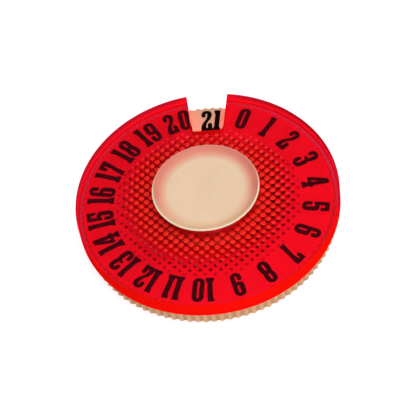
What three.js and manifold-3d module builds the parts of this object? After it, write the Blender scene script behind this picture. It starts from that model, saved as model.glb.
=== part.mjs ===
// A round life counter for a game: a number wheel with a serrated edge lies on the table, a clear red
// cover with a window turns on the wheel's boss, and a dished hub cap holds the cover down.
//
// Lengths are millimetres and +Z is up. z = 0 is the surface that the wheel lies on, the z axis is the
// axis that the cover turns about, and the window points along +Y at rest.

import * as THREE from 'three';
import { mergeGeometries, mergeVertices } from 'three/addons/utils/BufferGeometryUtils.js';
import Module from 'manifold-3d';

const wasm = await Module();
wasm.setup();

// Clearances between the pieces
const runningGap = 0.2; // above and below the cover, so that it turns freely
const bearingClearance = 0.15; // around the boss that the cover turns on
const plugClearance = 0.1; // around the hub cap's plug in its socket
const toothClearance = 0.2; // between the wheel's tooth tips and the inside of the cover's lip
const overrun = 1; // how far a cutter runs past the face that it cuts through

// Window cover: a thick disc with a shallow lip round its underside
const coverRadius = 28.5;
const coverPlate = 3.1; // thickness over the numbers
const coverLipDrop = 0.7; // how far the lip hangs below the plate
const coverLipWidth = 0.6;
const coverEdgeBreak = 0.25; // rounding along every edge of the disc
const windowMouthWidth = 9.3; // at the disc's edge
const windowFloorWidth = 7.1; // at the window's inner end
const windowDepth = 10.7; // from the disc's edge to the window's inner end
const windowCornerRadius = 1;

// Grip ring: low domes on a square grid that stands on its corner under the window. Each dome is a cap of
// the same ball, and the domes get smaller towards the numbers.
const gripPitch = 1.536;
const gripStartGap = 0.4; // from the hub cap's seat to the first bumps
const gripRingWidth = 7.5;
const gripBallRadius = 1;
const gripLargestRadius = 0.72; // of a bump's foot, beside the hub cap
const gripSmallestRadius = 0.38; // at the outside of the ring
const gripBumpSink = 0.1; // how deep a bump is rooted in the plate
const gripWindowGap = 0.35; // bare edge left beside the window
const bumpCrownShare = 0.5; // of the bump's radius, across its flat crown

// Number wheel: a web with a serrated rim, cored out underneath, and a boss in the middle
const wheelHeight = 4.6;
const wheelWeb = 1.8;
const wheelRimWall = 1.8; // from the tooth roots to the coring
const wheelDraft = 0.25; // the rim is this much smaller in radius at its top
const wheelEdgeBreak = 0.25;
const wheelCoringRound = 0.8; // rounding in the coring's upper corners
const toothCount = 100;
const toothDepth = 0.6;
const toothLand = 0.14; // flat left on each tooth's tip
const bossRadius = 8.7;
const bossWall = 1.8;
const socketFloor = 1.6;
const wheelTurnAtRest = -2.06; // degrees; the wheel stands a little clockwise of the window

// Hub cap: a shallow dish with a flared flange and a hollow plug
const capSeatWidth = 1.2; // flange that lies just over the cover, outside the boss
const capFlare = 1.65; // how far the rim stands out beyond that
const capRise = 2.7; // the rim's height above the cover's face
const capRimWidth = 0.3;
const capRimHeight = 0.3;
const capSlopeWidth = 2.05; // the dish's sloping band, inside the rim
const capDishDepth = 0.8;
const capFloor = 1.5; // thickness of the dish over the hollow plug
const plugLength = 4.5;
const plugWall = 1.5;
const plugEdgeBreak = 0.4; // lead-in at the plug's end

// Numbers of facets
const discSides = 120;
const hubSides = 60;
const bumpSides = 6;
const cornerSteps = 3;
const dishSteps = 4;

// Heights and radii that follow from the sizes above
const plateBottom = wheelHeight + runningGap;
const coverTop = plateBottom + coverPlate;
const lipBottom = plateBottom - coverLipDrop;
const seatHeight = coverTop + runningGap;
const tipRadius = coverRadius - coverLipWidth - toothClearance;
const rootRadius = tipRadius - toothDepth;
const coringRadius = rootRadius - wheelDraft - wheelRimWall;
const socketRadius = bossRadius - bossWall;
const capSeatRadius = bossRadius + capSeatWidth;
const capRadius = capSeatRadius + capFlare;
const capFloorRadius = capRadius - capRimWidth - capSlopeWidth;
const rimTop = coverTop + capRise;
const dishFloor = rimTop - capDishDepth;
const gripInner = capSeatRadius + gripStartGap + gripLargestRadius;
const gripOuter = gripInner + gripRingWidth;
const windowFloor = coverRadius - windowDepth;

const creamPlastic = { color: 0xe6cdaf, roughness: 0.45, metalness: 0 };
const clearRedPlastic = { color: 0xf00a23, roughness: 0.15, metalness: 0 };

// A closed geometry with shared vertices becomes a solid for cutting and joining.
function toSolid(geometry) {
  const bare = geometry.clone();
  bare.deleteAttribute('normal');
  bare.deleteAttribute('uv');
  const merged = mergeVertices(bare, 1e-5);
  const index = merged.index.array;
  const faces = [];
  for (let i = 0; i < index.length; i += 3) {
    const [a, b, c] = [index[i], index[i + 1], index[i + 2]];
    if (a !== b && b !== c && c !== a) {
      faces.push(a, b, c);
    }
  }
  return new wasm.Manifold(new wasm.Mesh({
    numProp: 3,
    vertProperties: new Float32Array(merged.attributes.position.array),
    triVerts: new Uint32Array(faces),
  }));
}

function toGeometry(solid) {
  const mesh = solid.getMesh();
  const geometry = new THREE.BufferGeometry();
  geometry.setAttribute('position', new THREE.BufferAttribute(new Float32Array(mesh.vertProperties), 3));
  geometry.setIndex(new THREE.BufferAttribute(new Uint32Array(mesh.triVerts), 1));
  geometry.computeVertexNormals();
  return geometry;
}

// Turns a profile of [radius, height] points about the z axis. The profile runs from its low end at the
// axis, outside and up, back to the axis, or round a closed loop in the same sense.
function turned(profile, sides) {
  const points = profile.map(([radius, height]) => new THREE.Vector2(radius, height));
  const geometry = new THREE.LatheGeometry(points, sides);
  geometry.rotateX(Math.PI / 2);
  return geometry;
}

function cylinder(radius, bottom, top, sides) {
  return turned([[0, bottom], [radius, bottom], [radius, top], [0, top]], sides);
}

function arcPoints(centreX, centreY, radius, from, to, steps) {
  const points = [];
  for (let i = 0; i <= steps; i += 1) {
    const angle = from + ((to - from) * i) / steps;
    points.push(new THREE.Vector2(centreX + radius * Math.cos(angle), centreY + radius * Math.sin(angle)));
  }
  return points;
}

// The points of a round corner between two straight edges.
function roundedCorner(before, corner, after, radius) {
  const inward = before.clone().sub(corner).normalize();
  const outward = after.clone().sub(corner).normalize();
  const halfAngle = Math.acos(inward.dot(outward)) / 2;
  const bisector = inward.clone().add(outward).normalize();
  const centre = corner.clone().addScaledVector(bisector, radius / Math.sin(halfAngle));
  const start = corner.clone().addScaledVector(inward, radius / Math.tan(halfAngle)).sub(centre);
  const end = corner.clone().addScaledVector(outward, radius / Math.tan(halfAngle)).sub(centre);
  const turn = Math.atan2(start.cross(end), start.dot(end));
  return arcPoints(centre.x, centre.y, radius, start.angle(), start.angle() + turn, cornerSteps);
}

// Outline of the disc with its window: round the edge, then down one side of the window and up the other.
function coverOutline() {
  const mouthX = windowMouthWidth / 2;
  const floorX = windowFloorWidth / 2;
  const mouthY = Math.sqrt(coverRadius ** 2 - mouthX ** 2);
  const mouthRight = new THREE.Vector2(mouthX, mouthY);
  const mouthLeft = new THREE.Vector2(-mouthX, mouthY);
  const floorLeft = new THREE.Vector2(-floorX, windowFloor);
  const floorRight = new THREE.Vector2(floorX, windowFloor);
  const edge = arcPoints(0, 0, coverRadius, mouthLeft.angle(), mouthRight.angle() + 2 * Math.PI, discSides);
  const points = [
    ...edge,
    ...roundedCorner(mouthRight, floorRight, floorLeft, windowCornerRadius),
    ...roundedCorner(floorRight, floorLeft, mouthLeft, windowCornerRadius),
  ];
  const shape = new THREE.Shape(points);
  const bore = arcPoints(0, 0, bossRadius + bearingClearance, 2 * Math.PI, 0, hubSides);
  shape.holes.push(new THREE.Path(bore.slice(0, -1)));
  return shape;
}

// Half the window's width at a distance y from the axis.
function windowHalfWidth(y) {
  const share = (y - windowFloor) / windowDepth;
  return (windowFloorWidth + share * (windowMouthWidth - windowFloorWidth)) / 2;
}

// One bump: the cap that the plate's face cuts off a ball, with a flat crown, rooted a little in the plate.
function bumpGeometry(radius) {
  const ballDepth = Math.sqrt(gripBallRadius ** 2 - radius ** 2);
  const crownRadius = radius * bumpCrownShare;
  const crownHeight = Math.sqrt(gripBallRadius ** 2 - crownRadius ** 2) - ballDepth;
  return turned([
    [0, -gripBumpSink],
    [radius, -gripBumpSink],
    [radius, 0],
    [crownRadius, crownHeight],
    [0, crownHeight],
  ], bumpSides);
}

// The grid stands on its corner: its rows run at 45 degrees to the window, and the axis is in the middle of
// a square of four places.
function gripRing() {
  const diagonal = gripPitch / Math.SQRT2;
  const reach = Math.ceil(gripOuter / gripPitch);
  const bumps = [];
  for (let row = -reach; row <= reach; row += 1) {
    for (let column = -reach; column <= reach; column += 1) {
      const x = (row - column) * diagonal;
      const y = (row + column + 1) * diagonal;
      const distance = Math.hypot(x, y);
      const outwardShare = (distance - gripInner) / gripRingWidth;
      const radius = THREE.MathUtils.lerp(gripLargestRadius, gripSmallestRadius, outwardShare);
      const edgeGap = radius + gripWindowGap;
      const inWindow = y > windowFloor - edgeGap && Math.abs(x) < windowHalfWidth(y) + edgeGap;
      if (distance < gripInner || distance > gripOuter || inWindow) {
        continue;
      }
      bumps.push(bumpGeometry(radius).translate(x, y, coverTop));
    }
  }
  return mergeGeometries(bumps);
}

function windowCover() {
  const disc = new THREE.ExtrudeGeometry(coverOutline(), {
    depth: coverTop - lipBottom - 2 * coverEdgeBreak,
    bevelThickness: coverEdgeBreak,
    bevelSize: coverEdgeBreak,
    bevelOffset: -coverEdgeBreak,
    bevelSegments: 1,
  });
  disc.translate(0, 0, lipBottom + coverEdgeBreak);
  const recess = cylinder(coverRadius - coverLipWidth, lipBottom - overrun, plateBottom, discSides);
  const solid = toSolid(disc).subtract(toSolid(recess)).add(toSolid(gripRing()));
  return toGeometry(solid);
}

// The wheel's outline at the table: V-shaped teeth with a narrow flat on each tip.
function toothOutline() {
  const step = (2 * Math.PI) / toothCount;
  const landAngle = toothLand / tipRadius;
  const points = [];
  for (let i = 0; i < toothCount; i += 1) {
    const tip = Math.PI / 2 + i * step;
    for (const [radius, angle] of [
      [tipRadius, tip - landAngle / 2],
      [tipRadius, tip + landAngle / 2],
      [rootRadius, tip + step / 2],
    ]) {
      points.push(new THREE.Vector2(radius * Math.cos(angle), radius * Math.sin(angle)));
    }
  }
  return new THREE.Shape(points);
}

// The serrated disc. Its sides lean in towards the top as a moulding's do, and the tips of the teeth are
// bevelled at the top and at the table.
function serratedDisc() {
  const heights = [0, wheelEdgeBreak, wheelHeight - wheelEdgeBreak, wheelHeight];
  const bevels = [wheelEdgeBreak, 0, 0, wheelEdgeBreak];
  const steps = heights.length - 1;
  const geometry = new THREE.ExtrudeGeometry(toothOutline(), { depth: steps, steps, bevelEnabled: false });
  const position = geometry.attributes.position;
  for (let i = 0; i < position.count; i += 1) {
    const level = Math.round(position.getZ(i));
    const flat = new THREE.Vector2(position.getX(i), position.getY(i));
    const leant = flat.length() - wheelDraft * (heights[level] / wheelHeight);
    const limit = tipRadius - wheelDraft * (heights[level] / wheelHeight) - bevels[level];
    flat.setLength(Math.min(leant, limit));
    position.setXYZ(i, flat.x, flat.y, heights[level]);
  }
  return geometry;
}

// The ring-shaped coring under the web, with round upper corners.
function coringCutter() {
  const top = wheelHeight - wheelWeb;
  const corner = (centreRadius, from, to) => (
    arcPoints(centreRadius, top - wheelCoringRound, wheelCoringRound, from, to, cornerSteps)
      .map((point) => [point.x, point.y])
  );
  const profile = [
    [bossRadius, -overrun],
    [coringRadius, -overrun],
    ...corner(coringRadius - wheelCoringRound, 0, Math.PI / 2),
    ...corner(bossRadius + wheelCoringRound, Math.PI / 2, Math.PI),
    [bossRadius, -overrun],
  ];
  return turned(profile, hubSides);
}

function numberWheel() {
  const boss = cylinder(bossRadius, wheelHeight - wheelWeb, seatHeight, hubSides);
  const socket = cylinder(socketRadius, socketFloor, seatHeight + overrun, hubSides);
  const solid = toSolid(serratedDisc())
    .subtract(toSolid(coringCutter()))
    .add(toSolid(boss))
    .subtract(toSolid(socket));
  return toGeometry(solid);
}

// The dish swells from its flat floor to the rim, with no hard line at the floor's edge.
function hubCap() {
  const plugRadius = socketRadius - plugClearance;
  const plugBottom = seatHeight - plugLength;
  const slope = [];
  for (let i = dishSteps; i >= 0; i -= 1) {
    const share = i / dishSteps;
    slope.push([capFloorRadius + capSlopeWidth * share, dishFloor + capDishDepth * share ** 2]);
  }
  const profile = [
    [0, dishFloor - capFloor],
    [plugRadius - plugWall, dishFloor - capFloor],
    [plugRadius - plugWall, plugBottom],
    [plugRadius - plugEdgeBreak, plugBottom],
    [plugRadius, plugBottom + plugEdgeBreak],
    [plugRadius, seatHeight],
    [capSeatRadius, seatHeight],
    [capRadius, rimTop - capRimHeight],
    [capRadius, rimTop],
    ...slope,
    [0, dishFloor],
  ];
  return toGeometry(toSolid(turned(profile, hubSides)));
}

function piece(name, geometry, material) {
  const mesh = new THREE.Mesh(geometry, new THREE.MeshStandardMaterial(material));
  mesh.name = name;
  return mesh;
}

const group = new THREE.Group();

const wheel = piece('number_wheel', numberWheel(), creamPlastic);
wheel.rotation.z = THREE.MathUtils.degToRad(wheelTurnAtRest);
group.add(wheel);
group.add(piece('hub_cap', hubCap(), creamPlastic));
group.add(piece('window_cover', windowCover(), clearRedPlastic));

export default group;
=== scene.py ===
import math

import bpy
from mathutils import Matrix, Vector


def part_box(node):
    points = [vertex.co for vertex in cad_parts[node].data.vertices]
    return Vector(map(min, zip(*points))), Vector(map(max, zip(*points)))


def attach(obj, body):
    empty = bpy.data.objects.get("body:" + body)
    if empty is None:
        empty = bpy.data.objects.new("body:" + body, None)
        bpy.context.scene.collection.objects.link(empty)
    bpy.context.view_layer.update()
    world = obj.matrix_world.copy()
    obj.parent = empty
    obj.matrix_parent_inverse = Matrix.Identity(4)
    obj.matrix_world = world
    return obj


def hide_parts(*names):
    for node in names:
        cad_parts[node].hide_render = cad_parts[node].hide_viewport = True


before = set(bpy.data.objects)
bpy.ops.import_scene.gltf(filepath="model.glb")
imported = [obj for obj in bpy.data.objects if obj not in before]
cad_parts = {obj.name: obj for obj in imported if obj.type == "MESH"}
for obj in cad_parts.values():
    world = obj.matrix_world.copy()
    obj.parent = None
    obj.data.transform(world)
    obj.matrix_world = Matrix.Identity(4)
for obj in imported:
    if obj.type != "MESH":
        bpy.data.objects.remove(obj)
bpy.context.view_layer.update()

MM = 0.001

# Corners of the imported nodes' boxes, in millimetres, as all sizes below are
cover_low, cover_high = (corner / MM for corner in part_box("window_cover"))
cap_low, cap_high = (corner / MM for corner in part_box("hub_cap"))
wheel_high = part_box("number_wheel")[1] / MM

# Cover and wheel
RUNNING_GAP = 0.2
CAP_RISE = 2.7  # of the cap's rim over the cover's top
COVER_RADIUS = cover_high.x
COVER_TOP = cap_high.z - CAP_RISE
COVER_PLATE = 3.1
PLATE_BOTTOM = COVER_TOP - COVER_PLATE
LIP_BOTTOM = cover_low.z
LIP_WIDTH = 0.6
BORE_RADIUS = 8.85
WHEEL_TOP = PLATE_BOTTOM - RUNNING_GAP
WHEEL_TURN = math.radians(-2.06)  # of the wheel's own mark from the middle of the window
TOOTH_DEPTH = 0.6
TOOTH_TIP = COVER_RADIUS - LIP_WIDTH - RUNNING_GAP
TOOTH_ROOT = TOOTH_TIP - TOOTH_DEPTH
COVER_STEPS = 180  # faces round the disc

# Window in the cover
WINDOW_MOUTH_WIDTH = 9.3
WINDOW_FLOOR_WIDTH = 7.1
WINDOW_DEPTH = 10.7
WINDOW_FLOOR = COVER_RADIUS - WINDOW_DEPTH
WINDOW_CORNER = 1.0

# Rounding of edges that are sharper than the corner angle
CORNER_ANGLE = math.radians(40)
EDGE_ROUNDING = 0.18
CAP_EDGE_ROUNDING = 0.08

# Grip ring: bumps on a square grid that stands on its corner under the window. Each is a cap of the same
# ball, and the bumps get smaller towards the numbers.
GRID_PITCH = 1.536
BALL_RADIUS = 1.0
LARGEST_BUMP = 0.74  # radius of its foot, beside the hub cap
SMALLEST_BUMP = 0.36
GRIP_INNER = 11.02
GRIP_OUTER = 18.95
WINDOW_MARGIN = 0.35  # kept free of bumps round the window

# Finishes of the cover, by the number of their material: the edge has a painted glow, the crowns painted
# brightness, the valleys painted shade
POLISHED, PAINTED_GLOW_EDGE, PAINTED_BRIGHT_CROWN, VALLEY = range(4)
CLEAR_RED = "#E52B4C"
PAINTED_EDGE_GLOW = 1.0  # strength of the painted glow of the disc's edges, which lights what stands near them
CROWN_SLOPE = math.radians(42)  # where a bump's crown with painted brightness ends
CROWN_FADE_START = 15.9  # the crowns' painted brightness turns from pale
CROWN_FADE_END = 18.4  # to nearly clear over this stretch
RING_START = 10.4  # painted deep shade in the valleys between the bumps starts here
RING_END = 19.6  # to here, where they have become like the plain disc
PAINTED_SPOT_FADE_START = 15.4  # the painted dark spots in the valleys' middles fade out
PAINTED_SPOT_FADE_END = 18.4  # over this stretch

# Hub cap, as radii and heights of its turned profile
CAP_RADIUS = cap_high.x
CAP_RIM_TOP = cap_high.z
CAP_RIM_WIDTH = 0.3
CAP_RIM_HEIGHT = 0.3
CAP_SLOPE_WIDTH = 2.05
CAP_DISH_DEPTH = 0.8
CAP_FLOOR = 1.5
CAP_SEAT_RADIUS = 9.9
SEAT_HEIGHT = wheel_high.z
PLUG_BOTTOM = cap_low.z
PLUG_RADIUS = 6.8
PLUG_WALL = 1.5
CAP_STEPS = 160  # faces round the cap
SLOPE_STEPS = 8  # faces up the slope

# Printed numbers and dots on the wheel
INK_THICKNESS = 0.02
INK_MIDDLE = WHEEL_TOP + INK_THICKNESS / 2
LAST_NUMBER = 21
NUMBER_RADIUS = 23.43
DIGIT_TURN = 6.4  # degrees of the ring that a digit takes
SLIM_DIGIT_TURN = 4.2  # the figure 1
PAIR_SPACE = 0.85  # degrees between the two digits of a number
OWN_PAIR_SPACES = {"11": 0.75, "20": 1.3, "21": 0.0}
SPACE_AFTER_DIGIT = 9.9  # degrees from a number of one digit to the next number
SPACE_AFTER_PAIR = 4.65
OWN_SPACES_AFTER = {9: 9.2, 10: 5.3, 17: 4.5, 19: 5.0, 20: 6.0}
ZERO_AZIMUTH = 17.7  # of the figure 0, clockwise from the wheel's own mark
DOT_RADIUS = 0.39
OUTERMOST_DOT = 0.75  # its size beside the full dots
DOT_TURN = math.radians(-1.6)
DOT_RING_INNER = 12.4
DOT_RING_FULL = 18.6  # the dots get smaller from here
DOT_RING_OUTER = 20.3
DOT_FADE_START = 17.0  # their ink gets thinner from here
DOTS_LEFT_OUT = 2.4  # how much narrower the ring is under the numbers 0 and 20

# Corners of a mesh that lie this near each other are one corner.
MERGE_DISTANCE = 0.001

# Refractive indices of the materials, and the sizes of their grain
POLYSTYRENE_IOR = 1.59
INK_IOR = 1.5
CLOUD_SIZE = 6.25
GRAIN_SIZE = 0.4  # coarser than the real satin, so that it shows
INK_PATCH_SIZE = 5 / 6

# Sockets of the Mix node when it mixes colours, since it has several of the same name
MIX_SHARE, MIX_FIRST, MIX_SECOND, MIX_RESULT = 0, 6, 7, 2

# Camera, fitted to the photograph
CAMERA_HEADING = math.radians(8.0)
CAMERA_ELEVATION = math.radians(52.47)
CAMERA_ROLL = math.radians(-10.10)
CAMERA_DISTANCE = 341.0
CAMERA_AIM = Vector((0.263, -3.709, COVER_TOP))
SENSOR_WIDTH = 36.0
PICTURE_WIDTH = 416  # pixels, as the focal length below
FOCAL_LENGTH = 1600


def linear(code):
    """Turns an sRGB hex colour into the linear values that a shader takes."""
    values = [int(code[i:i + 2], 16) / 255 for i in (1, 3, 5)]
    curve = [v / 12.92 if v <= 0.04045 else ((v + 0.055) / 1.055) ** 2.4 for v in values]
    return (*curve, 1.0)


def add_node(tree, kind, inputs=(), **settings):
    """Adds a shader node, sets its fields, and sets or links its inputs."""
    node = tree.nodes.new(kind)
    for field, value in settings.items():
        setattr(node, field, value)
    for socket, value in dict(inputs).items():
        if isinstance(value, bpy.types.NodeSocket):
            tree.links.new(value, node.inputs[socket])
        else:
            node.inputs[socket].default_value = value
    return node


def new_material(name):
    """An empty material and its node tree."""
    material = bpy.data.materials.new(name)
    material.use_nodes = True
    material.node_tree.nodes.clear()
    return material, material.node_tree


def deselect_all():
    if bpy.context.object and bpy.context.object.mode != "OBJECT":
        bpy.ops.object.mode_set(mode="OBJECT")
    bpy.ops.object.select_all(action="DESELECT")


def make_active(piece):
    deselect_all()
    piece.select_set(True)
    bpy.context.view_layer.objects.active = piece


def apply_modifier(piece, name, kind, **settings):
    """Adds a modifier to a piece, sets its fields and applies it."""
    make_active(piece)
    modifier = piece.modifiers.new(name, kind)
    for field, value in settings.items():
        setattr(modifier, field, value)
    bpy.ops.object.modifier_apply(modifier=name)


def merge_and_face_outwards():
    """Merges the doubles of the active piece and turns its faces outwards."""
    bpy.ops.object.mode_set(mode="EDIT")
    bpy.ops.mesh.select_all(action="SELECT")
    bpy.ops.mesh.remove_doubles(threshold=MERGE_DISTANCE * MM)
    bpy.ops.mesh.normals_make_consistent(inside=False)
    bpy.ops.object.mode_set(mode="OBJECT")


def give_material(piece, *materials):
    piece.data.materials.clear()
    for material in materials:
        piece.data.materials.append(material)


def placed_copy(original, place):
    """A copy of a piece with a mesh of its own, moved and turned by a matrix."""
    copy = bpy.data.objects.new(original.name, original.data.copy())
    copy.data.transform(place)
    bpy.context.scene.collection.objects.link(copy)
    return copy


def joined(pieces, name):
    """Joins pieces into the first of them."""
    deselect_all()
    for piece in pieces:
        piece.select_set(True)
    bpy.context.view_layer.objects.active = pieces[0]
    bpy.ops.object.join()
    pieces[0].name = name
    return pieces[0]


def cream_polystyrene(name, painted_light_tint):
    """Cream high-impact polystyrene, injection moulded: a soft satin sheen, faint flow clouds, and enough
    light scattered inside it to carry a little of the cover's red. The function given last lays painted
    light and shade over its colour."""
    material, tree = new_material(name)
    place = add_node(tree, "ShaderNodeTexCoord").outputs["Object"]
    clouds = add_node(tree, "ShaderNodeTexNoise", {
        "Vector": place, "Scale": 1 / (CLOUD_SIZE * MM), "Detail": 3.0})
    shade = add_node(tree, "ShaderNodeValToRGB", {"Fac": clouds.outputs["Fac"]})
    shade.color_ramp.elements[0].position = 0.3
    shade.color_ramp.elements[0].color = linear("#EED0B2")
    shade.color_ramp.elements[1].position = 0.7
    shade.color_ramp.elements[1].color = linear("#F3D7BA")
    grain = add_node(tree, "ShaderNodeTexNoise", {
        "Vector": place, "Scale": 1 / (GRAIN_SIZE * MM), "Detail": 2.0})
    bump = add_node(tree, "ShaderNodeBump", {
        "Height": grain.outputs["Fac"], "Strength": 0.05, "Distance": 0.05 * MM})
    shader = add_node(tree, "ShaderNodeBsdfPrincipled", {
        "Base Color": painted_light_tint(tree, shade.outputs["Color"]), "Roughness": 0.4, "IOR": POLYSTYRENE_IOR,
        "Normal": bump.outputs["Normal"], "Subsurface Weight": 0.6,
        "Subsurface Radius": (1.0, 0.5, 0.3), "Subsurface Scale": 0.8 * MM})
    add_node(tree, "ShaderNodeOutputMaterial", {"Surface": shader.outputs["BSDF"]})
    return material


def tint_ramp(tree, radius, start, end, stops):
    """Colours that change over the radius between two circles. stops are shares of the way and colours."""
    band = add_node(tree, "ShaderNodeMapRange", {
        "Value": radius, "From Min": start * MM, "From Max": end * MM})
    ramp = add_node(tree, "ShaderNodeValToRGB", {"Fac": band.outputs["Result"]})
    elements = ramp.color_ramp.elements
    elements[0].position, elements[1].position = stops[0][0], stops[-1][0]
    elements[0].color, elements[1].color = linear(stops[0][1]), linear(stops[-1][1])
    for position, code in stops[1:-1]:
        elements.new(position).color = linear(code)
    return ramp.outputs["Color"]


def radius_from_axis(tree):
    place = add_node(tree, "ShaderNodeTexCoord").outputs["Object"]
    flat = add_node(tree, "ShaderNodeVectorMath", {0: place, 1: (1.0, 1.0, 0.0)}, operation="MULTIPLY")
    length = add_node(tree, "ShaderNodeVectorMath", {0: flat.outputs["Vector"]}, operation="LENGTH")
    return length.outputs["Value"]


def place_toward_window(tree):
    """How far a point lies from the axis to the side where the window is at rest."""
    place = add_node(tree, "ShaderNodeTexCoord").outputs["Object"]
    return add_node(tree, "ShaderNodeSeparateXYZ", {"Vector": place}).outputs["Y"]


def red_through_flange(tree, colour):
    """Painted light on the dish. Its sloping band gets a painted pink glow for the cover's red light
    shining through the thin band, strongest on the window's side and peach on the other side. On that other
    side the rim also gets a painted highlight."""
    radius = radius_from_axis(tree)
    # Painted pink light from the cover, pinker on the window's side and peach on the other side
    tint_start = 8.2
    far = tint_ramp(tree, radius, tint_start, CAP_RADIUS, [
        (0.0, "#FFFFFF"), (0.35, "#FAD6D2"), (0.62, "#F4B2B4"), (0.9, "#F0A6B0"), (1.0, "#F8BAB8")])
    near = tint_ramp(tree, radius, tint_start, CAP_RADIUS, [
        (0.0, "#FFFFFF"), (0.5, "#FFF0E4"), (1.0, "#FFE8D8")])
    toward_window = place_toward_window(tree)
    painted_pink_side = add_node(tree, "ShaderNodeMapRange", {
        "Value": toward_window, "From Min": -9 * MM, "From Max": -1 * MM})
    painted_light_tint = add_node(tree, "ShaderNodeMix", {
        MIX_SHARE: painted_pink_side.outputs["Result"], MIX_FIRST: near, MIX_SECOND: far}, data_type="RGBA")
    with_painted_pink = add_node(tree, "ShaderNodeMix", {
        MIX_SHARE: 1.0, MIX_FIRST: colour, MIX_SECOND: painted_light_tint.outputs[MIX_RESULT]},
        data_type="RGBA", blend_type="MULTIPLY")
    # Painted highlight: a pale cream line along the rim, strongest on the side away from the window
    rim_start = CAP_RADIUS - CAP_RIM_WIDTH - 0.1
    rim = tint_ramp(tree, radius, rim_start, CAP_RADIUS, [
        (0.0, "#000000"), (0.45, "#FFFFFF"), (1.0, "#FFFFFF")])
    painted_highlight_side = add_node(tree, "ShaderNodeMapRange", {
        "Value": toward_window, "From Min": -3 * MM, "From Max": 4 * MM, "To Min": 1.0, "To Max": 0.1})
    crisp = add_node(tree, "ShaderNodeMath", {
        0: rim, 1: painted_highlight_side.outputs["Result"]}, operation="MULTIPLY")
    return add_node(tree, "ShaderNodeMix", {
        MIX_SHARE: crisp.outputs[0], MIX_FIRST: with_painted_pink.outputs[MIX_RESULT], MIX_SECOND: linear("#FFF2CC")},
        data_type="RGBA").outputs[MIX_RESULT]


def amber_teeth(tree, colour):
    """Painted light and shade on the wheel: a painted pink cast from the cover's red light on the face
    under it, a painted yellow glow on the toothed edge, and painted shade at the roots of the teeth."""
    # Painted pink on the face, painted shade at the tooth roots, painted yellow glow towards the tips
    tint_start = TOOTH_ROOT - 0.1
    painted_light_tint = tint_ramp(tree, radius_from_axis(tree), tint_start, TOOTH_TIP, [
        (0.0, "#FFE6DC"), (0.15, "#CDB888"), (0.4, "#D8CC98"), (1.0, "#F2EEC0")])
    return add_node(tree, "ShaderNodeMix", {MIX_SHARE: 1.0, MIX_FIRST: colour, MIX_SECOND: painted_light_tint},
                    data_type="RGBA", blend_type="MULTIPLY").outputs[MIX_RESULT]


def let_lamps_through(tree, shader):
    """Mixes a shader with pale red transparency for shadow rays, so that lamps light the wheel below."""
    lamp_light = add_node(tree, "ShaderNodeBsdfTransparent", {"Color": linear("#FFA8DC")})
    path = add_node(tree, "ShaderNodeLightPath")
    mix = add_node(tree, "ShaderNodeMixShader", {
        0: path.outputs["Is Shadow Ray"], 1: shader.outputs["BSDF"], 2: lamp_light.outputs["BSDF"]})
    add_node(tree, "ShaderNodeOutputMaterial", {"Surface": mix.outputs["Shader"]})


def clear_red_polystyrene():
    """Transparent red crystal polystyrene, moulded in a polished tool: it bends the view of the numbers."""
    material, tree = new_material("clear_red_polystyrene_polished")
    shader = add_node(tree, "ShaderNodeBsdfPrincipled", {
        "Base Color": linear(CLEAR_RED), "Roughness": 0.02, "IOR": POLYSTYRENE_IOR,
        "Transmission Weight": 1.0})
    let_lamps_through(tree, shader)
    return material


def deep_red_valley():
    """The same polished red between the bumps, with painted shade. The bumps gather the light, and the
    valleys are painted deep red in its place, with painted dark spots amid each four bumps. The painted
    shade fades to clear where the bumps get small and by the window."""
    material, tree = new_material("clear_red_polystyrene_valleys_painted_shade")
    toward_window = place_toward_window(tree)
    sooner_by_window = add_node(tree, "ShaderNodeMapRange", {
        "Value": toward_window, "From Min": 10 * MM, "From Max": WINDOW_FLOOR * MM, "To Max": 3 * MM})
    reach = add_node(tree, "ShaderNodeMath", {
        0: radius_from_axis(tree), 1: sooner_by_window.outputs["Result"]}, operation="ADD")
    # Painted deep shade, lighter beside the hub and fading to the plain red outwards
    depth = tint_ramp(tree, reach.outputs[0], RING_START, RING_END, [
        (0.0, "#C81410"), (0.25, "#B00A08"), (0.5, "#B0080A"), (0.62, "#BE0C12"), (0.75, "#CE182A"),
        (0.87, "#DA233D"), (1.0, CLEAR_RED)])
    place = add_node(tree, "ShaderNodeTexCoord").outputs["Object"]
    spot_distance = GRID_PITCH * MM / math.sqrt(2)  # from one row of painted dark spots to the next
    half_turn = math.pi / spot_distance
    phase = add_node(tree, "ShaderNodeVectorMath", {
        0: place, 1: (half_turn, half_turn, 0.0)}, operation="MULTIPLY")
    waves = add_node(tree, "ShaderNodeVectorMath", {0: phase.outputs["Vector"]}, operation="COSINE")
    wave = add_node(tree, "ShaderNodeSeparateXYZ", {"Vector": waves.outputs["Vector"]})
    middle = add_node(tree, "ShaderNodeMath", {
        0: wave.outputs["X"], 1: wave.outputs["Y"]}, operation="MULTIPLY")
    painted_dark_spot = add_node(tree, "ShaderNodeMapRange", {
        "Value": middle.outputs[0], "From Min": 0.3, "From Max": 0.8})
    strength = add_node(tree, "ShaderNodeMapRange", {
        "Value": toward_window, "From Min": 1 * MM, "From Max": 11 * MM, "To Min": 1.0, "To Max": 0.3})
    fade = add_node(tree, "ShaderNodeMapRange", {
        "Value": reach.outputs[0], "From Min": PAINTED_SPOT_FADE_START * MM, "From Max": PAINTED_SPOT_FADE_END * MM,
        "To Min": strength.outputs["Result"], "To Max": 0.0})
    share = add_node(tree, "ShaderNodeMath", {
        0: painted_dark_spot.outputs["Result"], 1: fade.outputs["Result"]}, operation="MULTIPLY")
    # Painted dark spots amid each four bumps, weaker towards the window
    colour = add_node(tree, "ShaderNodeMix", {
        MIX_SHARE: share.outputs[0], MIX_FIRST: depth, MIX_SECOND: linear("#5A0000")}, data_type="RGBA")
    shader = add_node(tree, "ShaderNodeBsdfPrincipled", {
        "Base Color": colour.outputs[MIX_RESULT], "Roughness": 0.05, "IOR": POLYSTYRENE_IOR,
        "Transmission Weight": 1.0})
    let_lamps_through(tree, shader)
    return material


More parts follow.
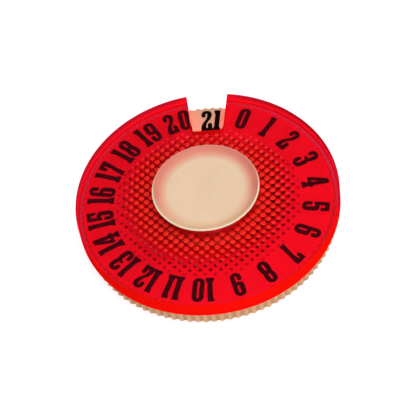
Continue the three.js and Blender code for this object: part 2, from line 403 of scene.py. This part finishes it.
def glowing_edge_polystyrene():
    """The same red polystyrene at the disc's edges, with a painted glow for the light piped through the
    disc:
    it looks full of colour, hides what lies behind, and its emission lights what stands near. Seen
    from inside, the rim has painted shade in a duller crimson."""
    material, tree = new_material("clear_red_polystyrene_painted_edge_glow")
    path = add_node(tree, "ShaderNodeLightPath")
    glow = add_node(tree, "ShaderNodeMapRange", {
        "Value": path.outputs["Is Diffuse Ray"], "To Min": 0.12, "To Max": PAINTED_EDGE_GLOW})
    side = add_node(tree, "ShaderNodeNewGeometry")
    painted_inner_shade = tint_ramp(tree, radius_from_axis(tree), COVER_RADIUS - LIP_WIDTH, COVER_RADIUS, [
        (0.0, "#F2142A"), (0.1, "#8E4C6C"), (0.75, "#8E4C6C"), (0.97, "#C8647E")])
    # Painted light: bright red on the outside, and painted shade in duller crimson on the inside
    colour = add_node(tree, "ShaderNodeMix", {
        MIX_SHARE: side.outputs["Backfacing"], MIX_FIRST: linear("#FF0E08"), MIX_SECOND: painted_inner_shade},
        data_type="RGBA")
    shader = add_node(tree, "ShaderNodeBsdfPrincipled", {
        "Base Color": colour.outputs[MIX_RESULT], "Roughness": 0.3, "IOR": POLYSTYRENE_IOR,
        "Specular IOR Level": 0.0, "Emission Color": linear("#FF1400"),
        "Emission Strength": glow.outputs["Result"]})
    let_lamps_through(tree, shader)
    return material


def satin_red_polystyrene():
    """The same red polystyrene on the crowns of the bumps, with painted light. Each crown scatters light
    and is painted paler than the clear plate, for the light that the bumps gather. The low outer bumps
    stay clear."""
    material, tree = new_material("clear_red_polystyrene_painted_bright_crowns")
    radius = radius_from_axis(tree)
    # Painted brightness: the inner crowns are less clear and a paler red
    clearness = tint_ramp(tree, radius, CROWN_FADE_START, CROWN_FADE_END, [
        (0.0, "#707070"), (0.5, "#989898"), (1.0, "#E4E4E4")])
    colour = tint_ramp(tree, radius, CROWN_FADE_START, CROWN_FADE_END, [
        (0.0, "#FA281E"), (1.0, "#FF2C46")])
    polish = add_node(tree, "ShaderNodeMapRange", {
        "Value": radius, "From Min": CROWN_FADE_START * MM, "From Max": CROWN_FADE_END * MM,
        "To Min": 0.38, "To Max": 0.15})
    shader = add_node(tree, "ShaderNodeBsdfPrincipled", {
        "Base Color": colour, "Roughness": polish.outputs["Result"], "IOR": POLYSTYRENE_IOR,
        "Specular Tint": linear("#FF9080"), "Transmission Weight": clearness})
    let_lamps_through(tree, shader)
    return material


def screen_print_ink():
    """Black screen-printing ink: matt, with a slight unevenness where the ink lies thinner."""
    material, tree = new_material("black_screen_print_ink")
    place = add_node(tree, "ShaderNodeTexCoord").outputs["Object"]
    patches = add_node(tree, "ShaderNodeTexNoise", {
        "Vector": place, "Scale": 1 / (INK_PATCH_SIZE * MM), "Detail": 2.0})
    shade = add_node(tree, "ShaderNodeValToRGB", {"Fac": patches.outputs["Fac"]})
    shade.color_ramp.elements[0].color = linear("#040303")
    shade.color_ramp.elements[1].color = linear("#0A0707")
    shader = add_node(tree, "ShaderNodeBsdfPrincipled", {
        "Base Color": shade.outputs["Color"], "Roughness": 0.7, "IOR": INK_IOR, "Specular IOR Level": 0.08})
    add_node(tree, "ShaderNodeOutputMaterial", {"Surface": shader.outputs["BSDF"]})
    return material


def thinning_dot_ink():
    """The same ink, laid thinner from ring to ring of dots towards the numbers, and thin below the numbers
    20 to 0, so that the cream shows."""
    material, tree = new_material("black_screen_print_ink_thinning")
    thinner = tint_ramp(tree, radius_from_axis(tree), DOT_FADE_START, DOT_RING_OUTER, [
        (0.0, "#563A2C"), (0.45, "#7A5E4A"), (1.0, "#CCB094")])
    thin_side = add_node(tree, "ShaderNodeMapRange", {
        "Value": place_toward_window(tree), "From Min": 3 * MM, "From Max": 13 * MM})
    shade = add_node(tree, "ShaderNodeMix", {
        MIX_SHARE: thin_side.outputs["Result"], MIX_FIRST: thinner, MIX_SECOND: linear("#A0806A")},
        data_type="RGBA")
    shader = add_node(tree, "ShaderNodeBsdfPrincipled", {
        "Base Color": shade.outputs[MIX_RESULT], "Roughness": 0.7, "IOR": INK_IOR,
        "Specular IOR Level": 0.08})
    add_node(tree, "ShaderNodeOutputMaterial", {"Surface": shader.outputs["BSDF"]})
    return material


def before_matt_bounce(tree, path, value):
    """A value for rays that have met no matt surface since the camera, and 0 for those that have."""
    first = add_node(tree, "ShaderNodeMath", {
        0: path.outputs["Diffuse Depth"], 1: 0.5}, operation="LESS_THAN")
    kept = add_node(tree, "ShaderNodeMath", {0: value, 1: first.outputs[0]}, operation="MULTIPLY")
    return kept.outputs[0]


def white_sweep():
    """White paper: the camera sees it white, also by way of gloss or glass, and it still takes the object's
    shadow. Rays that light a matt surface meet plain paper."""
    material, tree = new_material("white_paper")
    path = add_node(tree, "ShaderNodeLightPath")
    gloss = add_node(tree, "ShaderNodeMath", {
        0: path.outputs["Is Camera Ray"], 1: path.outputs["Is Glossy Ray"]}, operation="MAXIMUM")
    glass = add_node(tree, "ShaderNodeMath", {
        0: gloss.outputs[0], 1: path.outputs["Is Transmission Ray"]}, operation="MAXIMUM")
    seen = before_matt_bounce(tree, path, glass.outputs[0])
    share = add_node(tree, "ShaderNodeMapRange", {
        "Value": path.outputs["Is Transmission Ray"], "To Min": 0.75, "To Max": 0.4})
    lift = add_node(tree, "ShaderNodeMath", {0: seen, 1: share.outputs["Result"]}, operation="MULTIPLY")
    plain_paper = add_node(tree, "ShaderNodeBsdfDiffuse", {"Color": linear("#F2F2F2")})
    lifted_paper = add_node(tree, "ShaderNodeBsdfDiffuse", {"Color": linear("#AFAFAF")})
    paper = add_node(tree, "ShaderNodeMixShader", {
        0: seen, 1: plain_paper.outputs[0], 2: lifted_paper.outputs[0]})
    glow = add_node(tree, "ShaderNodeEmission", {"Color": linear("#FFFFFF"), "Strength": lift.outputs[0]})
    both = add_node(tree, "ShaderNodeAddShader", {0: paper.outputs[0], 1: glow.outputs[0]})
    add_node(tree, "ShaderNodeOutputMaterial", {"Surface": both.outputs[0]})
    return material


def turned_piece(name, profile, steps):
    """Spins a closed profile of (radius, height) points, in millimetres, once round the axis."""
    deselect_all()
    bpy.ops.mesh.primitive_circle_add(vertices=len(profile), radius=MM, fill_type="NOTHING")
    piece = bpy.context.object
    piece.name = name
    for vertex, (radius, height) in zip(piece.data.vertices, profile):
        vertex.co = Vector((radius, 0, height)) * MM
    bpy.ops.object.mode_set(mode="EDIT")
    bpy.ops.mesh.select_all(action="SELECT")
    bpy.ops.mesh.spin(steps=steps, angle=math.tau, center=(0, 0, 0), axis=(0, 0, 1))
    merge_and_face_outwards()
    return piece


def cover_disc():
    """The cover's disc with its lip, and the window cut out of it."""
    inner_lip = COVER_RADIUS - LIP_WIDTH
    disc = turned_piece("window_cover_moulding", [
        (BORE_RADIUS, PLATE_BOTTOM), (inner_lip, PLATE_BOTTOM), (inner_lip, LIP_BOTTOM),
        (COVER_RADIUS, LIP_BOTTOM), (COVER_RADIUS, COVER_TOP), (RING_END, COVER_TOP),
        (RING_START, COVER_TOP), (BORE_RADIUS, COVER_TOP)], COVER_STEPS)
    window = window_cutter()
    apply_modifier(disc, "cut_window", "BOOLEAN", operation="DIFFERENCE", solver="EXACT", object=window)
    bpy.data.objects.remove(window)
    apply_modifier(disc, "break_edges", "BEVEL", width=EDGE_ROUNDING * MM, segments=2,
                   limit_method="ANGLE", angle_limit=CORNER_ANGLE)
    return disc


def window_half_width(y):
    """Half the window's width where its middle line is y from the axis. It gets wider outwards."""
    taper = (WINDOW_MOUTH_WIDTH - WINDOW_FLOOR_WIDTH) / 2 / WINDOW_DEPTH
    return WINDOW_FLOOR_WIDTH / 2 + taper * (y - WINDOW_FLOOR)


def window_cutter():
    """A tapered block with two round corners, the shape of the window. It overruns the disc at its edge,
    above and below."""
    overrun = 2.0
    outer = WINDOW_FLOOR + WINDOW_DEPTH + overrun
    deselect_all()
    bpy.ops.mesh.primitive_cube_add(size=1)
    block = bpy.context.object
    for vertex in block.data.vertices:
        y = outer if vertex.co.y > 0 else WINDOW_FLOOR
        x = math.copysign(window_half_width(y), vertex.co.x)
        z = COVER_TOP + overrun if vertex.co.z > 0 else LIP_BOTTOM - overrun
        vertex.co = Vector((x, y, z)) * MM
    bpy.ops.object.mode_set(mode="EDIT")
    bpy.ops.mesh.select_all(action="DESELECT")
    bpy.ops.object.mode_set(mode="OBJECT")
    for edge in block.data.edges:
        ends = [block.data.vertices[i].co for i in edge.vertices]
        upright = abs(ends[0].z - ends[1].z) > MM
        on_floor = all(abs(end.y - WINDOW_FLOOR * MM) < MERGE_DISTANCE * MM for end in ends)
        edge.select = upright and on_floor
    bpy.ops.object.mode_set(mode="EDIT")
    bpy.ops.mesh.select_mode(type="EDGE")
    bpy.ops.mesh.bevel(offset=WINDOW_CORNER * MM, segments=5)
    bpy.ops.object.mode_set(mode="OBJECT")
    return block


def grip_bump():
    """The top of the ball that every bump is a cap of, with the ball's middle at the origin."""
    deselect_all()
    bpy.ops.mesh.primitive_uv_sphere_add(segments=12, ring_count=14, radius=BALL_RADIUS * MM)
    ball = bpy.context.object
    sunk = 0.02  # how far the largest cap reaches into the disc
    cut = math.sqrt(BALL_RADIUS ** 2 - LARGEST_BUMP ** 2) - sunk
    bpy.ops.object.mode_set(mode="EDIT")
    bpy.ops.mesh.select_all(action="SELECT")
    bpy.ops.mesh.bisect(plane_co=(0, 0, cut * MM), plane_no=(0, 0, 1), clear_inner=True, use_fill=True)
    bpy.ops.object.mode_set(mode="OBJECT")
    return ball


def grid_points(outer, steps_on=0):
    """Points of a square grid that stands on its corner, enough for a circle. The grid has a point on the
    axis, unless steps_on moves it towards the window by so many half diagonals of a square."""
    half_diagonal = GRID_PITCH / math.sqrt(2)
    reach = math.ceil(outer / GRID_PITCH)
    for row in range(-reach, reach + 1):
        for column in range(-reach, reach + 1):
            yield (row - column) * half_diagonal, (row + column + steps_on) * half_diagonal


def grip_places():
    """Where the ball's middle lies for each bump: nearer the face, the larger the cap that shows."""
    for x, y in grid_points(GRIP_OUTER, steps_on=1):
        outward = (math.hypot(x, y) - GRIP_INNER) / (GRIP_OUTER - GRIP_INNER)
        radius = LARGEST_BUMP + outward * (SMALLEST_BUMP - LARGEST_BUMP)
        edge_gap = radius + WINDOW_MARGIN
        in_window = y > WINDOW_FLOOR - edge_gap and abs(x) < window_half_width(y) + edge_gap
        if 0 <= outward <= 1 and not in_window:
            yield x, y, COVER_TOP - math.sqrt(BALL_RADIUS ** 2 - radius ** 2)


def finish_of_face(face):
    """Which of the cover's finishes a face has, from where it lies and how it is turned."""
    x, y, z = face.center / MM
    radius = math.hypot(x, y)
    level, side_margin, floor_margin = 0.01, 0.1, 0.3
    if z > COVER_TOP + level:
        return PAINTED_BRIGHT_CROWN if face.normal.z > math.cos(CROWN_SLOPE) else VALLEY
    if z > COVER_TOP - level and RING_START < radius < RING_END:
        return VALLEY
    upright = abs(face.normal.z) < 0.5
    at_rim = radius > COVER_RADIUS - LIP_WIDTH - side_margin
    under_lip = at_rim and z < LIP_BOTTOM + EDGE_ROUNDING
    in_window = y > WINDOW_FLOOR - floor_margin and abs(x) < WINDOW_MOUTH_WIDTH / 2 + side_margin
    return PAINTED_GLOW_EDGE if under_lip or (upright and (at_rim or in_window)) else POLISHED


def window_cover():
    """The clear red disc with its window and its ring of bumps, in four finishes."""
    disc = cover_disc()
    bump = grip_bump()
    bumps = [placed_copy(bump, Matrix.Translation(Vector(place) * MM)) for place in grip_places()]
    ring = joined(bumps, "grip_bumps")
    bpy.data.objects.remove(bump)
    apply_modifier(disc, "add_bumps", "BOOLEAN", operation="UNION", solver="MANIFOLD", object=ring)
    bpy.data.objects.remove(ring)
    make_active(disc)
    bpy.ops.object.shade_smooth_by_angle(angle=math.radians(32))
    apply_modifier(disc, "even_shading", "WEIGHTED_NORMAL", keep_sharp=True, weight=100)
    give_material(disc, clear_red_polystyrene(), glowing_edge_polystyrene(), satin_red_polystyrene(),
                  deep_red_valley())
    for face in disc.data.polygons:
        face.material_index = finish_of_face(face)
    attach(disc, "cover")
    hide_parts("window_cover")


def hub_cap(material):
    """The dished cap: a flared flange, a crisp rim, and a slope that swells up from a flat floor."""
    floor_radius = CAP_RADIUS - CAP_RIM_WIDTH - CAP_SLOPE_WIDTH
    floor_height = CAP_RIM_TOP - CAP_DISH_DEPTH
    slope = []
    for step in range(SLOPE_STEPS, -1, -1):
        share = step / SLOPE_STEPS
        slope.append((floor_radius + CAP_SLOPE_WIDTH * share, floor_height + CAP_DISH_DEPTH * share ** 2))
    plug_inner = PLUG_RADIUS - PLUG_WALL
    cap = turned_piece("hub_cap_moulding", [
        (0, floor_height - CAP_FLOOR), (plug_inner, floor_height - CAP_FLOOR), (plug_inner, PLUG_BOTTOM),
        (PLUG_RADIUS, PLUG_BOTTOM), (PLUG_RADIUS, SEAT_HEIGHT), (CAP_SEAT_RADIUS, SEAT_HEIGHT),
        (CAP_RADIUS, CAP_RIM_TOP - CAP_RIM_HEIGHT), (CAP_RADIUS, CAP_RIM_TOP), *slope, (0, floor_height)],
        CAP_STEPS)
    apply_modifier(cap, "break_edges", "BEVEL", width=CAP_EDGE_ROUNDING * MM, segments=3,
                   limit_method="ANGLE", angle_limit=CORNER_ANGLE)
    make_active(cap)
    bpy.ops.object.shade_smooth_by_angle(angle=math.radians(35))
    give_material(cap, material)
    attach(cap, "wheel")
    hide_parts("hub_cap")


def number_wheel(material):
    """The wheel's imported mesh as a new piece, merged so that its round faces shade smoothly."""
    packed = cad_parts["number_wheel"]
    wheel = bpy.data.objects.new("number_wheel_moulding", packed.data.copy())
    bpy.context.scene.collection.objects.link(wheel)
    make_active(wheel)
    merge_and_face_outwards()
    bpy.ops.object.shade_smooth_by_angle(angle=math.radians(25))
    give_material(wheel, material)
    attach(wheel, "wheel")
    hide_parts("number_wheel")


# Outlines of the digits, about the middle of a digit 5.9 mm high. Each corner is x, y and how far from it,
# in millimetres, the line starts to round it off.
DIGITS = {
    "0": [
        [(-1.25, 2.95, 1.15), (1.25, 2.95, 1.15), (1.25, -2.95, 1.15), (-1.25, -2.95, 1.15)],
        [(-0.23, 2.1, 0.21), (0.23, 2.1, 0.21), (0.23, -2.1, 0.21), (-0.23, -2.1, 0.21)]],
    "1": [
        [(-0.78, 2.95, 0.15), (-0.78, 2.4, 0.1), (-0.52, 1.9, 0.3), (-0.52, -1.85, 0.3), (-0.85, -2.4, 0.1),
         (-0.85, -2.95, 0), (0.92, -2.95, 0), (0.92, -2.4, 0.1), (0.6, -1.85, 0.3), (0.6, 2.95, 0)]],
    "2": [
        [(-1.35, 1.02, 0.43), (-1.35, 2.95, 1.1), (1.02, 2.95, 1.15), (1.02, 0.9, 0.9),
         (-0.28, -0.75, 0.8), (-0.28, -2.1, 0.18), (0.1, -2.1, 0.18), (0.1, -0.7, 0.45),
         (1.05, -0.7, 0.45), (1.12, -2.95, 0), (-1.38, -2.95, 0), (-1.38, -1.1, 0.9),
         (-0.02, 0.75, 0.8), (-0.02, 2.08, 0.18), (-0.42, 2.08, 0.18), (-0.42, 1.02, 0.42)]],
    "3": [
        [(-1.3, 1.03, 0.43), (-1.3, 2.95, 1.1), (1.14, 2.95, 1.15), (1.14, 0.7, 0.4), (0.9, 0.12, 0.25),
         (1.22, -0.5, 0.4), (1.22, -2.95, 1.15), (-1.32, -2.95, 1.15), (-1.32, -0.75, 0.45),
         (-0.4, -0.75, 0.42), (-0.34, -2.08, 0.2), (0.1, -2.08, 0.2), (0.1, -0.12, 0.4),
         (-0.78, -0.12, 0.1), (-0.78, 0.5, 0.1), (0.1, 0.5, 0.4), (0.1, 2.08, 0.2), (-0.34, 2.08, 0.2),
         (-0.4, 1.03, 0.42)]],
    "4": [
        [(-0.3, 2.95, 0.1), (-1.45, -0.8, 0.1), (-1.45, -1.52, 0.1), (-0.12, -1.52, 0.1),
         (-0.15, -1.95, 0.2), (-0.5, -2.4, 0.08), (-0.5, -2.95, 0), (1.15, -2.95, 0), (1.15, -2.4, 0.08),
         (0.88, -1.95, 0.2), (0.88, -1.48, 0.1), (1.27, -1.42, 0.08), (1.27, -0.68, 0.08),
         (0.9, -0.6, 0.1), (0.9, 2.95, 0)],
        [(-0.1, 0.9, 0), (-0.08, -0.75, 0), (-0.52, -0.75, 0)]],
    "5": [
        [(-1.22, 2.95, 0), (1.1, 2.95, 0.1), (1.2, 1.03, 0.42), (0.38, 1.03, 0.3), (0.3, 2.05, 0.1),
         (-0.36, 2.05, 0.1), (-0.36, 0.78, 0.1), (1.18, 0.78, 0.9), (1.18, -2.95, 1.15),
         (-1.24, -2.95, 1.1), (-1.27, -0.75, 0.43), (-0.38, -0.75, 0.42), (-0.34, -2.08, 0.2),
         (0.1, -2.08, 0.2), (0.1, -0.14, 0.3), (-0.55, -0.14, 0.2), (-0.75, -0.42, 0.1),
         (-1.22, -0.42, 0)]],
    "6": [
        [(-1.28, 2.95, 1.15), (1.1, 2.95, 1.1), (1.1, 0.98, 0.42), (0.15, 0.98, 0.35), (0.1, 2.08, 0.2),
         (-0.34, 2.08, 0.2), (-0.34, 0.62, 0.1), (1.2, 0.62, 0.85), (1.2, -2.95, 1.15),
         (-1.28, -2.95, 1.15)],
        [(-0.34, -0.2, 0.22), (0.14, -0.2, 0.22), (0.14, -2.1, 0.22), (-0.34, -2.1, 0.22)]],
    "7": [
        [(-1.27, 2.95, 0), (-1.27, 0.98, 0.38), (-0.42, 0.98, 0.38), (-0.4, 2.05, 0.2), (0.03, 2.05, 0.2),
         (-0.04, 0.8, 0.6), (-0.9, -2.95, 0), (0.3, -2.95, 0), (0.62, -0.6, 0.9), (1.24, 1.9, 0.6),
         (1.24, 2.95, 0)]],
    "8": [
        [(-1.22, 2.95, 1.15), (1.22, 2.95, 1.15), (1.22, 0.7, 0.4), (1.0, 0.08, 0.25), (1.27, -0.6, 0.4),
         (1.27, -2.95, 1.2), (-1.27, -2.95, 1.2), (-1.27, -0.6, 0.4), (-1.0, 0.08, 0.25),
         (-1.22, 0.7, 0.4)],
        [(-0.23, 2.08, 0.21), (0.23, 2.08, 0.21), (0.23, 0.55, 0.21), (-0.23, 0.55, 0.21)],
        [(-0.23, -0.45, 0.21), (0.23, -0.45, 0.21), (0.23, -2.12, 0.21), (-0.23, -2.12, 0.21)]],
}
# The figure 9 is the figure 6 upside down.
DIGITS["9"] = [[(-x, -y, rounding) for x, y, rounding in outline] for outline in DIGITS["6"]]


def rounded_outline(curve, corners):
    """Adds a closed line through the corners, each rounded off over its own distance."""
    arc_share = 0.55  # how far the handles reach towards the corner, as in a quarter circle
    line_share = 0.1  # how far they reach along a straight line
    points = []
    for i, (x, y, rounding) in enumerate(corners):
        corner = Vector((x, y, 0))
        before = Vector((*corners[i - 1][:2], 0))
        after = Vector((*corners[(i + 1) % len(corners)][:2], 0))
        if rounding == 0:
            points.append((corner, corner.lerp(before, line_share), corner.lerp(after, line_share)))
            continue
        start = corner + (before - corner).normalized() * rounding
        end = corner + (after - corner).normalized() * rounding
        points.append((start, start.lerp(before, line_share), start.lerp(corner, arc_share)))
        points.append((end, end.lerp(corner, arc_share), end.lerp(after, line_share)))
    spline = curve.splines.new("BEZIER")
    spline.bezier_points.add(len(points) - 1)
    spline.use_cyclic_u = True
    for knot, (place, handle_before, handle_after) in zip(spline.bezier_points, points):
        knot.handle_left_type = knot.handle_right_type = "FREE"
        knot.co = place * MM
        knot.handle_left = handle_before * MM
        knot.handle_right = handle_after * MM


def digit_shape(digit):
    """A digit as a thin film of ink, drawn as a flat curve about the digit's middle."""
    curve = bpy.data.curves.new("digit_" + digit, "CURVE")
    curve.dimensions = "2D"
    curve.fill_mode = "BOTH"
    curve.resolution_u = 4
    curve.extrude = INK_THICKNESS / 2 * MM
    for outline in DIGITS[digit]:
        rounded_outline(curve, outline)
    shape = bpy.data.objects.new("digit_" + digit, curve)
    bpy.context.scene.collection.objects.link(shape)
    make_active(shape)
    bpy.ops.object.convert(target="MESH")
    merge_and_face_outwards()
    return bpy.context.object


def digit_azimuths(number):
    """Clockwise turns, in degrees, from a number's left edge to the middle of each digit, and the number's
    whole width."""
    text = str(number)
    space = OWN_PAIR_SPACES.get(text, PAIR_SPACE)
    turns, edge = [], 0
    for digit in text:
        width = SLIM_DIGIT_TURN if digit == "1" else DIGIT_TURN
        turns.append(edge + width / 2)
        edge += width + space
    return turns, edge - space


def on_wheel(radius, azimuth, height):
    """Places a flat piece on the wheel, its top outwards, at a clockwise azimuth from the wheel's mark."""
    turn = Matrix.Rotation(WHEEL_TURN - math.radians(azimuth), 4, "Z")
    return turn @ Matrix.Translation(Vector((0, radius, height)) * MM)


def printed_numbers(ink):
    """The numbers from 0, clockwise round the wheel, each a piece of its own."""
    shapes = {digit: digit_shape(digit) for digit in DIGITS}
    left_edge = ZERO_AZIMUTH - DIGIT_TURN / 2
    for number in range(LAST_NUMBER + 1):
        turns, width = digit_azimuths(number)
        digits = [placed_copy(shapes[digit], on_wheel(NUMBER_RADIUS, left_edge + turn, INK_MIDDLE))
                  for digit, turn in zip(str(number), turns)]
        printed = joined(digits, f"printed_number_{number:02d}")
        give_material(printed, ink)
        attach(printed, "wheel")
        usual_space = SPACE_AFTER_DIGIT if number < 10 else SPACE_AFTER_PAIR
        left_edge += width + OWN_SPACES_AFTER.get(number, usual_space)
    for shape in shapes.values():
        bpy.data.objects.remove(shape)


def dot_places():
    """Where each dot lies and its size, as a matrix. The grid is as wide as the bumps' and turned a little.
    The dots get smaller towards the numbers, and the ring is narrower on the window's side."""
    for x, y in grid_points(DOT_RING_OUTER):
        distance = math.hypot(x, y)
        window_side = max(0, y - GRIP_INNER) / (WINDOW_FLOOR - GRIP_INNER)
        outer = DOT_RING_OUTER - window_side * DOTS_LEFT_OUT
        if DOT_RING_INNER <= distance <= outer:
            fullness = min(1, (outer - distance) / (DOT_RING_OUTER - DOT_RING_FULL))
            size = OUTERMOST_DOT + (1 - OUTERMOST_DOT) * fullness
            place = Matrix.Translation(Vector((x, y, INK_MIDDLE)) * MM)
            yield Matrix.Rotation(DOT_TURN, 4, "Z") @ place @ Matrix.Diagonal((size, size, 1, 1))


def printed_dots(ink):
    """The ring of round dots under the grip bumps, as one piece."""
    deselect_all()
    bpy.ops.mesh.primitive_cylinder_add(vertices=14, radius=DOT_RADIUS * MM, depth=INK_THICKNESS * MM)
    dot = bpy.context.object
    dots = joined([placed_copy(dot, place) for place in dot_places()], "printed_dots")
    bpy.data.objects.remove(dot)
    give_material(dots, ink)
    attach(dots, "wheel")


def add_camera():
    """A camera that shows the part as the photograph does."""
    turn = (Matrix.Rotation(CAMERA_HEADING, 4, "Z")
            @ Matrix.Rotation(math.pi / 2 - CAMERA_ELEVATION, 4, "X")
            @ Matrix.Rotation(CAMERA_ROLL, 4, "Z"))
    data = bpy.data.cameras.new("photo_camera")
    data.sensor_width = SENSOR_WIDTH
    data.lens = SENSOR_WIDTH * FOCAL_LENGTH / PICTURE_WIDTH
    data.clip_start = 10 * MM
    camera = bpy.data.objects.new("photo_camera", data)
    back = turn @ Vector((0, 0, CAMERA_DISTANCE))
    camera.matrix_world = Matrix.Translation((CAMERA_AIM + back) * MM) @ turn
    bpy.context.scene.collection.objects.link(camera)
    bpy.context.scene.camera = camera


def add_lamp(name, direction, distance, size, watts):
    """A soft round lamp that points at the object. Polished faces mirror the pale ceiling instead of it."""
    data = bpy.data.lights.new(name, "AREA")
    data.shape = "DISK"
    data.size = size
    data.energy = watts
    lamp = bpy.data.objects.new(name, data)
    lamp.visible_glossy = False
    toward = Vector(direction).normalized()
    lamp.location = toward * distance
    lamp.rotation_mode = "QUATERNION"
    lamp.rotation_quaternion = toward.to_track_quat("Z", "Y")
    bpy.context.scene.collection.objects.link(lamp)


def add_studio():
    """A white paper floor and two soft lamps."""
    deselect_all()
    bpy.ops.mesh.primitive_plane_add(size=3)
    floor = bpy.context.object
    floor.name = "paper_floor"
    give_material(floor, white_sweep())
    add_lamp("overhead_softbox", direction=(0.18, 0.0, 1.0), distance=0.9, size=1.0, watts=7.2)
    add_lamp("front_fill", direction=(0.3, -0.9, 0.7), distance=0.7, size=0.5, watts=1.7)


def add_world():
    """A white backdrop for the camera, also through the clear red, and soft room light for the rest. What
    polished faces mirror is a pale ceiling above a dark room, and the backdrop's edge near the floor."""
    world = bpy.data.worlds.new("studio")
    world.use_nodes = True
    tree = world.node_tree
    tree.nodes.clear()
    direction = add_node(tree, "ShaderNodeTexCoord")
    height = add_node(tree, "ShaderNodeSeparateXYZ", {"Vector": direction.outputs["Generated"]})
    backdrop_edge = add_node(tree, "ShaderNodeMapRange", {
        "Value": height.outputs["Z"], "From Min": 0.05, "From Max": 0.3, "To Min": 0.6, "To Max": 0.0})
    path = add_node(tree, "ShaderNodeLightPath")
    mirrored = add_node(tree, "ShaderNodeMath", {
        0: path.outputs["Is Glossy Ray"], 1: backdrop_edge.outputs["Result"]}, operation="MULTIPLY")
    straight = add_node(tree, "ShaderNodeMath", {
        0: path.outputs["Is Camera Ray"], 1: path.outputs["Is Transmission Ray"]}, operation="MAXIMUM")
    either = add_node(tree, "ShaderNodeMath", {
        0: mirrored.outputs[0], 1: straight.outputs[0]}, operation="MAXIMUM")
    seen = before_matt_bounce(tree, path, either.outputs[0])
    ceiling = add_node(tree, "ShaderNodeMapRange", {
        "Value": height.outputs["Z"], "From Min": 0.82, "From Max": 0.95, "To Min": 0.03, "To Max": 0.22})
    room_light = add_node(tree, "ShaderNodeMapRange", {
        "Value": path.outputs["Is Glossy Ray"], "To Min": 0.1, "To Max": ceiling.outputs["Result"]})
    room = add_node(tree, "ShaderNodeBackground", {
        "Color": linear("#FFFFFF"), "Strength": room_light.outputs["Result"]})
    backdrop = add_node(tree, "ShaderNodeBackground", {"Color": linear("#FFFFFF"), "Strength": 1.0})
    mix = add_node(tree, "ShaderNodeMixShader", {0: seen, 1: room.outputs[0], 2: backdrop.outputs[0]})
    add_node(tree, "ShaderNodeOutputWorld", {"Surface": mix.outputs[0]})
    bpy.context.scene.world = world


window_cover()
hub_cap(cream_polystyrene("cream_polystyrene_painted_flange_light", red_through_flange))
number_wheel(cream_polystyrene("cream_polystyrene_moulded", amber_teeth))
printed_numbers(screen_print_ink())
printed_dots(thinning_dot_ink())
add_camera()
add_studio()
add_world()
bpy.context.scene.view_settings.view_transform = "Standard"
